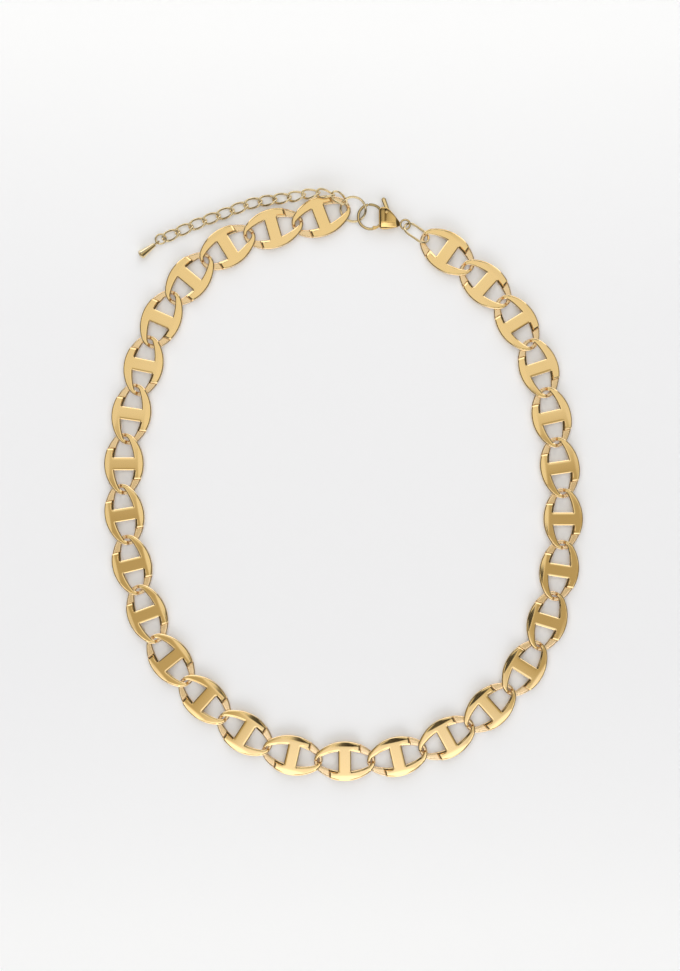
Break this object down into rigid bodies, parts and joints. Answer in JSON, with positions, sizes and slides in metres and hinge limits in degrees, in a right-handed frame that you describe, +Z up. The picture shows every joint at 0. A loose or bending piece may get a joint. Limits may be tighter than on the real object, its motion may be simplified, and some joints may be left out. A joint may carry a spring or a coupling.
{
  "type": "link chain necklace",
  "caption": "Flat oval links with a cross bar, each hooked through the next, closed by a lobster clasp; a twisted extender chain with a small drop hangs from the clasp ring.",
  "frame": {"origin": "middle of the whole necklace's bounding box, on the surface it lies on", "axes": "+Z up from the surface, +Y from the front links to the clasp, +X to the right of the necklace seen from above"},
  "size_m": [0.1246, 0.1542, 0.0037],
  "materials": {
    "link_gold": "polished gold plating on flat links",
    "clasp_gold": "polished gold plating",
    "ring_gold": "polished pale gold plating on wire"
  },
  "bodies": {
    "necklace": {"link_01": "link_gold", "link_02": "link_gold", "link_03": "link_gold", "link_04": "link_gold", "link_05": "link_gold", "link_06": "link_gold", "link_07": "link_gold", "link_08": "link_gold", "link_09": "link_gold", "link_10": "link_gold", "link_11": "link_gold", "link_12": "link_gold", "link_13": "link_gold", "link_14": "link_gold", "link_15": "link_gold", "link_16": "link_gold", "link_17": "link_gold", "link_18": "link_gold", "link_19": "link_gold", "link_20": "link_gold", "link_21": "link_gold", "link_22": "link_gold", "link_23": "link_gold", "link_24": "link_gold", "link_25": "link_gold", "link_26": "link_gold", "link_27": "link_gold", "link_28": "link_gold", "link_29": "link_gold", "big_ring": "ring_gold", "clasp_body": "clasp_gold", "clasp_pin": "clasp_gold", "oval_ring": "ring_gold", "extender_chain": "ring_gold", "end_ring": "ring_gold", "drop": "ring_gold"},
    "clasp_lever": {"clasp_lever": "clasp_gold"}
  },
  "joints": [
    {"name": "lever_hinge", "type": "hinge", "parent": "necklace", "child": "clasp_lever", "pos_m": [0.0112, 0.07081, 0.0015], "axis": [0, 0, 1], "range_deg": [0, 25], "stiffness_Nm_per_rad": 0.004, "springref_deg": -9.74}
  ]
}
